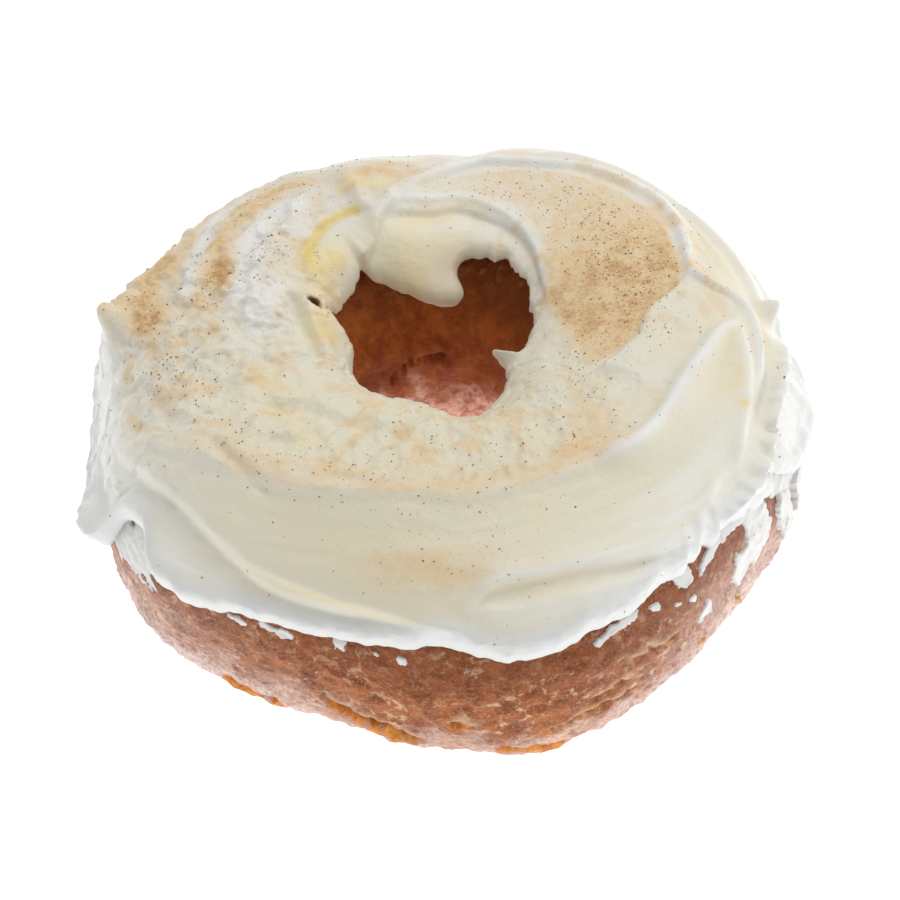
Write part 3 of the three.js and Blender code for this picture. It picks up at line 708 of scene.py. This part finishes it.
# Streaks on the left that the dust left clean, given in the same way
CLEAN_STREAKS = (
    (0.9, 1.0, 1.1, 8, ((126, 69), (132, 66), (139, 66), (147, 72), (155, 77), (163, 78), (172, 77))),
    (0.9, 2.2, 1.6, 8, ((120, 86), (130, 86), (140, 89), (150, 93), (158, 97), (166, 98), (176, 96))),
    (0.7, 2.0, 2.0, 10, ((150, 112), (160, 108), (170, 106), (180, 105), (190, 103))),
)

# Large patch of dust right of the hole: its edges and its strength along the ring
DUST_PATCH_LOW = (
    (-34, 113), (-26, 111), (-20, 107), (-9, 101), (1, 97), (6, 90), (11, 84), (24, 78), (34, 75), (47, 76),
    (60, 80), (72, 84), (84, 88), (95, 93), (110, 95),
)
DUST_PATCH_HIGH = (
    (-30, 115), (-13, 121), (0, 125), (15, 127), (36, 122), (50, 114), (64, 106), (74, 102), (83, 99),
    (95, 98), (110, 97),
)
DUST_PATCH_FADE = (
    (-30, 0), (-26, 0.32), (-19, 0.66), (-10, 0.88), (0, 1.0), (22, 1.0), (34, 0.74), (50, 0.55), (70, 0.44),
    (92, 0.24), (110, 0),
)
PATCH_STRENGTH = 0.88
BLOTCH_STRENGTH = 0.48

# Yellow stains where rich icing was dragged up, given as the dust is; the two broad ones on the tongue's
# lower part, at ring angles 96 and 104, are painted warm shade
STAINS = (
    (-21, 1.3, 61, 1.6, 1.0), (-16, 5, 66, 3.0, 0.3), (96, 20, 122, 12, 0.3), (104, 10, 130, 7, 0.3),
    (-12, 8, 72, 4, 0.2), (20, 9, 66, 3, 0.25), (2, 5, 56, 2.5, 0.25), (-110, 7, 44, 1.0, 0.45),
    (-99, 7, 42.5, 1.0, 0.3),
    (-153, 8, 107, 5, 0.25), (-128, 6, 97, 4, 0.3), (-140, 6, 100, 4, 0.2), (104, 6, 90, 3.0, 0.55),
    (112, 4, 86, 3.0, 0.45), (138, 7, 116, 4.0, 0.42), (160, 5, 124, 3.0, 0.35), (-76, 7, 54, 2.0, 0.18),
    (96, 16, 108, 3.0, 0.35), (84, 14, 104, 2.0, 0.25), (133, 9, 113, 6, 0.2), (152, 6, 121, 5, 0.25),
    (164, 6, 126, 6, 0.35), (143, 5, 119, 4, 0.36), (174, 6, 125, 5, 0.4), (-178, 5, 128, 5, 0.35),
)

# Yellow line along the top of the left petal: strength, reaches, run-out, path
YELLOW_LINE = (1.0, 1.0, 0.7, 4, (
    (112, 99), (118, 98), (124, 99.5), (128, 102), (134, 106), (141, 111), (146, 114)))

# Painted shadow inside the tear left of the hole, given as the dust is
TEAR_SHADOW = (158.6, 1.9, 121, 2.8, 1.0)


def dust_on_icing(ring, tube):
    low, high = through(DUST_PATCH_LOW, ring), through(DUST_PATCH_HIGH, ring)
    streaks = np.clip(1 + 1.5 * fractal(knife_lines(ring, tube, 4.0), 2.2, 5, 4.4), 0.1, 1.8)
    patch = PATCH_STRENGTH * np.clip(through(DUST_PATCH_FADE, ring), 0, 1) * (0.84 + 0.16 * streaks)
    patch = patch * smoothstep(tube, low, low + 2.0) * (1 - smoothstep(tube, high - 4, high + 3))
    blotches = smoothstep(fractal(knife_lines(ring, tube, 1.7), 3.4, 5, 8.8), -0.2, 0.48)
    on_plateau = smoothstep(tube - round_the_ring(SHELF_LINE, ring), 0, 5) * (1 - smoothstep(tube, 126, 138))
    blotches = BLOTCH_STRENGTH * blotches * on_plateau * (1 - bell(ring, 95, 24))
    scattered = sum(lump(values, ring, tube) for values in DUST)
    scattered = scattered + sum(ridge(values, ring, tube) for values in DUST_STREAKS)
    clean = 1 - largest([ridge(values, ring, tube) for values in CLEAN_STREAKS])
    scattered, blotches = scattered * clean, blotches * clean * (1 - 0.85 * bell(ring, -20, 15))
    return np.clip(largest([patch, scattered * (0.6 + 0.4 * streaks), blotches]), 0, 1)


def cream_of_icing(ring, tube):
    """1 where thick fresh icing shows yellow, as in front and on the tongue, and 0 where it is thin."""
    front = bell(ring, -85, 62) * smoothstep(tube, 34, 48)
    tongue = bell(ring, 100, 26) * smoothstep(tube, 104, 116)
    petals = bell(ring, 145, 22) * smoothstep(tube, 102, 110)
    low_petal = 0.9 * bell(ring, 176, 16) * smoothstep(tube, 116, 122)
    plateau = 0.75 * bell(ring, -138, 44) * smoothstep(tube, 68, 84)
    right = 0.5 * bell(ring, -5, 50) * smoothstep(tube, 44, 60)
    return np.clip(largest([front, tongue, petals, low_petal, plateau, right]) + 0.15, 0, 1)


# Folds whose crests are painted white, partly as whiter thin icing and partly as painted highlight, with the
# strength of the white
WHITE_AND_LIT_CRESTS = {
    "left_fold": 0.15, "right_stroke_high": 0.7, "right_stroke_low": 0.6, "swirl": 0.8, "leaf": 0.9,
    "leaf_side": 0.8, "hole_rim": 0.5, "shelf": 0.4, "outer_right": 0.8, "outer_fold": 0.8,
    "left_ridge": 0.6, "outer_left": 0.5,
}


def white_and_lit_of_icing(ring, tube):
    """1 where the thin, clean icing is whiter, and where light is painted on it: highlights on the crests of
    folds and at the tongue's root, and brightening on the front right and partly on the left.
    """
    lines = [(white_and_lit, 0.7, 0.8, 8, STROKES[name][-1]) for name, white_and_lit in WHITE_AND_LIT_CRESTS.items()]
    white_and_highlights = [ridge(line, ring, tube) for line in lines]
    # The left is whiter partly for its thin icing and partly as painted light; the sheet on the right is the
    # icing's own white
    left = 0.95 * bell(ring, 180, 40) * (1 - smoothstep(tube, 46, 62))
    right = 0.9 * bell(ring, -8, 16) * (1 - smoothstep(tube, 42, 48))
    streaks = smoothstep(fractal(knife_lines(ring, tube, 12.0), 2.0, 3, 5.5), -0.15, 0.25)
    # Painted highlight on the crest at the tongue's root, and painted light brightening the front right in
    # streaks
    root = 0.4 * bell(ring, 84, 18) * np.exp(-(((tube - 112) / 6) ** 2))
    front_right = (0.35 + 0.5 * streaks) * bell(ring, -52, 27) * (1 - smoothstep(tube, 58, 70))
    clean = 0.8 * largest([ridge(values, ring, tube) for values in CLEAN_STREAKS])
    return np.clip(largest([left, right, root, front_right, clean, sum(white_and_highlights)]), 0, 1)


def lip_of_icing(ring, tube):
    """1 on the thin lip along the rim, which is painted whiter and bluer: partly the thin icing's own white,
    partly painted light from the bright floor below.
    """
    outer, _, _ = icing_place(ring, np.zeros_like(ring))
    return 1 - smoothstep(tube - outer, 5, 15)


# Pieces

def make_dough():
    mesh, ring, turn = spun_ring(DOUGH_FINENESS)
    # Points lie closer together on the outer side, which shows most
    tube = -25 + 360 * turn - 30 * np.sin(2 * math.pi * turn)
    points, bare, rim, dark = crust(ring, tube)
    move_vertices(mesh, points)
    height = points[:, 2]
    outward = np.cos(np.radians(tube))
    patchy = fractal(points, 4.0, 4, 5.1)
    pale_up_to = 11 + 9 * bell(ring, -148, 24) + 14 * bell(ring, -32, 22)
    in_hole = smoothstep(-outward, 0.3, 0.8)
    lower_crags = 1 - 0.65 * bell(ring, -60, 16) * smoothstep(height, 5, 10)
    crumb = smoothstep(bare + 0.6 * fractal(points, 2.0, 4, 7.7), 0.42, 0.72)
    paint(mesh, "crumb", crumb * (1 - in_hole) * lower_crags)
    # Painted highlight above each crack, and painted shadow in it
    paint(mesh, "rim", rim * (1 - in_hole))
    paint(mesh, "crack", smoothstep(dark + 0.5 * fractal(points, 1.4, 4, 3.9), 0.5, 0.95) * (1 - in_hole))
    # Paler crust low down and at the sides: partly sugary bloom, partly painted light bounced up from the
    # floor
    pale_and_floor_lit = 1 - smoothstep(height + 4 * patchy, 3.5, pale_up_to + 1)
    pale_and_floor_lit = np.maximum(pale_and_floor_lit, 0.45 * bell(ring, -36, 22) * (1 - smoothstep(height, 15, 25)))
    pale_and_floor_lit = np.maximum(pale_and_floor_lit, 0.42 * bell(ring, -146, 20) * (1 - smoothstep(height, 13, 24)))
    pale_and_floor_lit = np.maximum(pale_and_floor_lit, bell(ring, -121, 17) * (1 - smoothstep(height + 3 * patchy, 5, 15)))
    paint(mesh, "mauve", np.maximum(bell(ring, -138, 26), bell(ring, -42, 26)))
    paint(mesh, "pale_and_floor_lit", pale_and_floor_lit * (1 - 0.3 * bell(ring, -84, 24)) * smoothstep(outward, -0.2, 0.2))
    # Painted light on the lower wall inside the hole, from the floor through the hole
    paint(mesh, "floor_lit_hole", 0.9 * in_hole * (1 - smoothstep(height + 5 * patchy, 9.0, 14.0)))
    paint(mesh, "wall", in_hole * smoothstep(height, 5, 11))
    top_of_wall = bell(ring, 50, 26) * smoothstep(height, 20, 26) + 0.6 * np.exp(-(((height - 15) / 3) ** 2))
    paint(mesh, "shade", outward.clip(0, 1) * smoothstep(height, 14, 22) + in_hole * top_of_wall)
    add_piece("dough_crust", mesh, crust_finish(), "dough")


def make_icing():
    mesh, ring, turn = spun_ring(ICING_FINENESS)
    on_top = turn <= TOP_SHARE
    share = np.where(on_top, turn / TOP_SHARE, 1 - (turn - TOP_SHARE) / (1 - TOP_SHARE))
    # Points lie closer together at both edges
    share = np.where(on_top, share - 0.07 * np.sin(2 * math.pi * share), share)
    points, tube = coat_of_icing(ring, share, on_top)
    move_vertices(mesh, points)
    paint(mesh, "dust", dust_on_icing(ring, tube))
    paint(mesh, "cream", cream_of_icing(ring, tube))
    # Whiter thin, clean icing, with painted highlights on crests and painted light on the front right and
    # left
    paint(mesh, "white_and_lit", white_and_lit_of_icing(ring, tube))
    # Lip painted whiter: partly thin icing, partly painted light from the floor
    paint(mesh, "lip", lip_of_icing(ring, tube))
    # Yellow stains, and painted warm shade on the tongue's lower part
    paint(mesh, "stain", sum(lump(values, ring, tube) for values in STAINS) + ridge(YELLOW_LINE, ring, tube))
    paint(mesh, "rough", roughness_of_icing(ring, tube))
    # Painted shade on the tongue's lower part
    paint(mesh, "painted_tongue_shade", 0.9 * bell(ring, 82, 20) * smoothstep(tube, 114, 128))
    # Painted shadow inside the tear
    paint(mesh, "gap", smoothstep(lump(TEAR_SHADOW, ring, tube), 0.3, 0.7))
    add_piece("icing_coat", mesh, icing_finish(), "icing")


# Specks of spice on the icing: how many, and where, given as the dust is
SPECK_COUNT = 4200
SPECKS = (
    (14, 20, 100, 12, 1.0), (30, 22, 94, 13, 0.55), (150, 10, 100, 6, 1.0), (-166, 7, 75, 8, 0.7),
    (168, 9, 84, 8, 0.9), (158, 6, 127, 7, 0.5), (-110, 40, 86, 8, 0.22), (62, 26, 96, 14, 0.25),
    (122, 18, 80, 12, 0.2), (-88, 16, 66, 12, 0.08), (-160, 22, 84, 14, 0.3), (-20, 24, 114, 12, 0.45),
    (138, 8, 110, 6, 0.25), (174, 8, 66, 9, 0.45), (-70, 50, 104, 12, 0.12),
)
SPECKS_ANYWHERE = 0.012
SPECK_SIZES = (0.035, 0.13)
SPECK_SEED = 11
DRAWS_A_SPECK = 40
SPECKS_A_BATCH = 80

# Radii of the ring and its section, to weigh places by their area
RING_MIDDLE = 29
RING_SECTION = 17


def speck_density(ring, tube):
    return np.clip(sum(lump(values, ring, tube) for values in SPECKS), 0, 1) + SPECKS_ANYWHERE


def make_specks():
    """Grains of ground spice, each a small faceted crumb half sunk in the icing."""
    draw = np.random.default_rng(SPECK_SEED)
    ring = draw.uniform(-180, 180, SPECK_COUNT * DRAWS_A_SPECK)
    share = draw.uniform(0.02, 0.98, SPECK_COUNT * DRAWS_A_SPECK)
    _, _, tube = icing_place(ring, share)
    wide = (RING_MIDDLE + RING_SECTION * np.cos(np.radians(tube))) / (RING_MIDDLE + RING_SECTION)
    kept = np.flatnonzero(draw.uniform(0, 1, len(ring)) < speck_density(ring, tube) * wide)[:SPECK_COUNT]
    points, _ = coat_of_icing(ring[kept], share[kept], np.full(len(kept), True))
    whole = bmesh.new()
    for start in range(0, len(points), SPECKS_A_BATCH):
        batch = bmesh.new()
        for point in points[start:start + SPECKS_A_BATCH]:
            small, large = SPECK_SIZES
            radius = small + (large - small) * draw.uniform() ** 3
            turn = Matrix.Rotation(draw.uniform(0, 6.3), 4, Vector(draw.normal(size=3)).normalized())
            length, height = radius * draw.uniform(0.7, 1.6), radius * draw.uniform(0.5, 1.0)
            sized = Matrix.Scale(MM, 4) @ Matrix.Diagonal((length, radius, height, 1))
            place = Matrix.Translation(Vector(point + np.array([*HOLE_AXIS, 0])) * MM)
            bmesh.ops.create_icosphere(batch, subdivisions=1, radius=1.0, matrix=place @ turn @ sized)
        part = bpy.data.meshes.new("batch")
        batch.to_mesh(part)
        batch.free()
        whole.from_mesh(part)
        bpy.data.meshes.remove(part)
    mesh = bpy.data.meshes.new("specks")
    whole.to_mesh(mesh)
    whole.free()
    finish = Finish("ground_spice")
    tone = finish.between(finish.grain(2.3, 1), 0.42, 0.62)
    finish.set(Base_Color=finish.mix(tone, (0.23, 0.135, 0.085), (0.42, 0.2, 0.09)), Roughness=0.8)
    add_piece("spice_specks", mesh, finish.material)


# Thin smears of icing below the coat: thickness, cover, reach across, run-out, path
SMEARS = (
    (0.22, 0.75, 0.8, 1.5, ((-128, 22), (-125.5, 20.5), (-122.5, 19))),
    (0.22, 0.8, 0.9, 1.8, ((-122.5, 24), (-119, 22.5), (-114.5, 21.5))),
    (0.22, 1.0, 1.8, 1.4, ((-108.9, 26), (-105.3, 26))),
    (0.25, 0.85, 0.5, 0.9, ((-101.9, 25), (-99.5, 24.5))),
    (0.25, 1.0, 0.8, 1.0, ((-98.2, 24.5), (-95.6, 24))),
    (0.28, 1.0, 0.7, 2.0, ((-69, 24.5), (-66, 27), (-63, 29.5), (-58.5, 31.5))),
    (0.3, 0.85, 0.8, 1.3, ((-58.2, 29.5), (-54.8, 26.5))),
    (0.25, 0.9, 0.4, 0.9, ((-53.2, 23), (-50.6, 21))),
    (0.25, 0.9, 0.4, 0.9, ((-49.8, 20), (-47.2, 18))),
    (0.3, 1.0, 1.6, 2.2, ((-53, 35), (-50, 32), (-46.5, 29))),
    (0.28, 1.0, 0.9, 2.0, ((-47, 27), (-42.5, 31), (-37.5, 34))),
    (0.25, 1.0, 1.4, 1.6, ((-48.2, 4.5), (-45.5, 5), (-43, 6))),
    (0.3, 1.0, 3.2, 2.5, ((-39, 7), (-33, 9), (-28, 12), (-23.5, 14))),
    (0.3, 1.0, 3.2, 2.0, ((-34, 28), (-29, 22), (-24, 16))),
    (0.4, 1.0, 3.8, 2.0, ((-25, 29), (-20, 22), (-15, 17), (-9, 13))),
    (0.6, 1.0, 6.0, 1.6, ((-23.6, 20), (-21, 13), (-18.6, 6), (-16.4, 0))),
    (1.05, 1.0, 4.0, 3.0, ((-18.4, 7), (-12, 6), (-1, 8))),
    (0.4, 1.0, 2.4, 4.0, ((-42, 36), (-34, 35), (-28, 33), (-22, 31), (-14, 24), (-4, 20))),
    (0.2, 1.0, 4.2, 1.2, ((-155, 21), (-150, 23), (-146, 24), (-140, 22))),
    (0.22, 0.45, 1.2, 8.0, (
        (16, 21), (45, 26), (70, 20), (95, 26), (120, 21), (145, 26), (165, 20), (190, 20))),
)

# Windows torn in the smears, where the crust shows: reach across, run-out, path
SMEAR_WINDOWS = (
    (1, 1.6, ((-26, 17), (-23.4, 18), (-20.6, 19))),
    (0.9, 1.8, ((-39, 25), (-35.5, 26), (-31.5, 23))),
    (1.6, 0.7, ((-17.4, 6), (-16.4, 8), (-15.4, 10))),
)
SMEAR_GRID = (1500, 120)
SMEAR_BAND = (-24, 46)
SMEAR_SUNK = 0.3
SMEAR_LEAST_COVER = 0.05

# How much of the crust's relief shows through a smear
SMEAR_FOLLOWS = 0.45


def smear_cover(ring, tube, points):
    """1 where a smear lies, 0 where there is none, and how thick the smear is."""
    cover = np.zeros_like(ring)
    thickness = np.zeros_like(ring)
    for thick, share, reach, run_out, smear_path in SMEARS:
        here = ridge((share, reach, reach, run_out, smear_path), ring, tube)
        thickness = np.where(here > cover, thick, thickness)
        cover = np.maximum(cover, here)
    for reach, run_out, window_path in SMEAR_WINDOWS:
        cover = cover - ridge((1, reach, reach, run_out, window_path), ring, tube)
    ragged = cover + 0.4 * fractal(points, 1.6, 5, 1.3) + 0.16 * fractal(points, 0.5, 3, 9.7)
    return smoothstep(ragged, 0.3, 0.56), thickness * (1 + 0.2 * fractal(points, 2.6, 3, 6.1))


def make_smears():
    shape = bmesh.new()
    columns, rows = SMEAR_GRID
    bmesh.ops.create_grid(shape, x_segments=columns, y_segments=rows, size=1.0)
    flat = np.array([vert.co for vert in shape.verts])
    low, high = SMEAR_BAND
    ring = -180 * flat[:, 0]
    tube = low + (high - low) * (flat[:, 1] + 1) / 2
    points, _, _, _ = crust(ring, tube)
    cover, thickness = smear_cover(ring, tube, points)
    plain = placed(ring, tube, dough_reach(ring, tube))
    turn, lift = np.radians(ring), np.radians(tube)
    outward = np.stack([np.cos(lift) * np.cos(turn), np.cos(lift) * np.sin(turn), np.sin(lift)], 1)
    sheet = SMEAR_FOLLOWS * points + (1 - SMEAR_FOLLOWS) * plain + outward * thickness[:, None]
    points = points - outward * SMEAR_SUNK
    points = (points + (sheet - points) * cover[:, None] + np.array([*HOLE_AXIS, 0])) * MM
    thin = shape.verts.layers.float.new("thin")
    veil = 1 - smoothstep(thickness * cover, 0.05, 0.26)
    for vert, place, share in zip(shape.verts, points, veil):
        vert.co = place
        vert[thin] = share
    shape.verts.index_update()
    bare = cover < SMEAR_LEAST_COVER
    hidden = [face for face in shape.faces if all(bare[vert.index] for vert in face.verts)]
    bmesh.ops.delete(shape, geom=hidden, context="FACES")
    bmesh.ops.recalc_face_normals(shape, faces=shape.faces[:])
    mesh = bpy.data.meshes.new("smears")
    shape.to_mesh(mesh)
    shape.free()
    mesh.polygons.foreach_set("use_smooth", np.ones(len(mesh.polygons), bool))
    finish = Finish("thin_icing")
    cloudy = finish.between(finish.grain(1.6, 3), 0.35, 0.65)
    tone = finish.mix(cloudy, (0.74, 0.745, 0.735), (0.68, 0.68, 0.665))
    tone = finish.mix(finish.times(finish.painted("thin"), 0.8), tone, (0.64, 0.61, 0.62))
    finish.set(Base_Color=tone, Roughness=0.45)
    finish.set(Subsurface_Weight=0.2, Subsurface_Scale=0.0008)
    add_piece("icing_smears", mesh, finish.material)


# Camera, light and floor

CAMERA_RISE = 41.0
CAMERA_DISTANCE = 380.0
CAMERA_ROLL = -1.6
AIM = (HOLE_AXIS[0], HOLE_AXIS[1], 37.0)
IMAGE_SIZE = 900
AIM_PIXEL = (437.0, 312.0)
PIXELS_PER_TANGENT = 8 * CAMERA_DISTANCE
SENSOR_MM = 36.0


def make_camera():
    rise, roll = math.radians(CAMERA_RISE), math.radians(CAMERA_ROLL)
    back = Vector((0, -math.cos(rise), math.sin(rise)))
    level, up = Vector((1, 0, 0)), Vector((0, math.sin(rise), math.cos(rise)))
    right = math.cos(roll) * level + math.sin(roll) * up
    over = math.cos(roll) * up - math.sin(roll) * level
    middle = IMAGE_SIZE / 2
    toward = right * (middle - AIM_PIXEL[0]) - over * (middle - AIM_PIXEL[1]) - back * PIXELS_PER_TANGENT
    back_of_view = -toward.normalized()
    right = (right - back_of_view * right.dot(back_of_view)).normalized()
    over = back_of_view.cross(right)
    camera = bpy.data.objects.new("camera", bpy.data.cameras.new("camera"))
    camera.matrix_world = Matrix.Translation((Vector(AIM) + back * CAMERA_DISTANCE) * MM) @ Matrix(
        (right, over, back_of_view)).transposed().to_4x4()
    camera.data.sensor_width = SENSOR_MM
    camera.data.lens = PIXELS_PER_TANGENT / IMAGE_SIZE * SENSOR_MM
    camera.data.clip_start = 0.01
    show(camera)
    bpy.context.scene.camera = camera


def add_soft_light(name, place, size, power, colour):
    lamp = bpy.data.lights.new(name, "AREA")
    lamp.shape = "SQUARE"
    lamp.size = size
    lamp.energy = power
    lamp.color = colour
    light = bpy.data.objects.new(name, lamp)
    toward_part = Vector(place).to_track_quat("Z", "Y").to_matrix().to_4x4()
    light.matrix_world = Matrix.Translation(place) @ toward_part
    show(light)


def make_stage():
    shape = bmesh.new()
    bmesh.ops.create_grid(shape, x_segments=1, y_segments=1, size=3.0)
    mesh = bpy.data.meshes.new("floor")
    shape.to_mesh(mesh)
    shape.free()
    finish = Finish("pale_floor")
    finish.set(Base_Color=(0.9, 0.9, 0.9), Roughness=0.9, Specular_IOR_Level=0.0)
    finish.set(Emission_Color=(1.0, 1.0, 1.0), Emission_Strength=0.85)
    mesh.materials.append(finish.material)
    floor = bpy.data.objects.new("floor", mesh)
    show(floor)
    world = bpy.data.worlds.new("studio")
    world.use_nodes = True
    background = world.node_tree.nodes["Background"].inputs
    background["Color"].default_value = (1.0, 0.995, 0.98, 1)
    background["Strength"].default_value = 0.44
    bpy.context.scene.world = world
    add_soft_light("overhead", (0.15, 0.35, 0.9), 0.7, 4.5, (1.0, 0.985, 0.96))
    add_soft_light("left", (-0.8, 0.1, 0.4), 0.6, 0.7, (0.98, 0.99, 1.0))
    add_soft_light("right", (0.8, 0.2, 0.4), 0.6, 1.6, (0.98, 0.99, 1.0))
    add_soft_light("front_right", (0.7, -0.55, 0.3), 0.6, 0.6, (1.0, 0.99, 0.97))
    bpy.context.scene.view_settings.view_transform = "Standard"


make_camera()
make_stage()
make_dough()
make_icing()
make_specks()
make_smears()
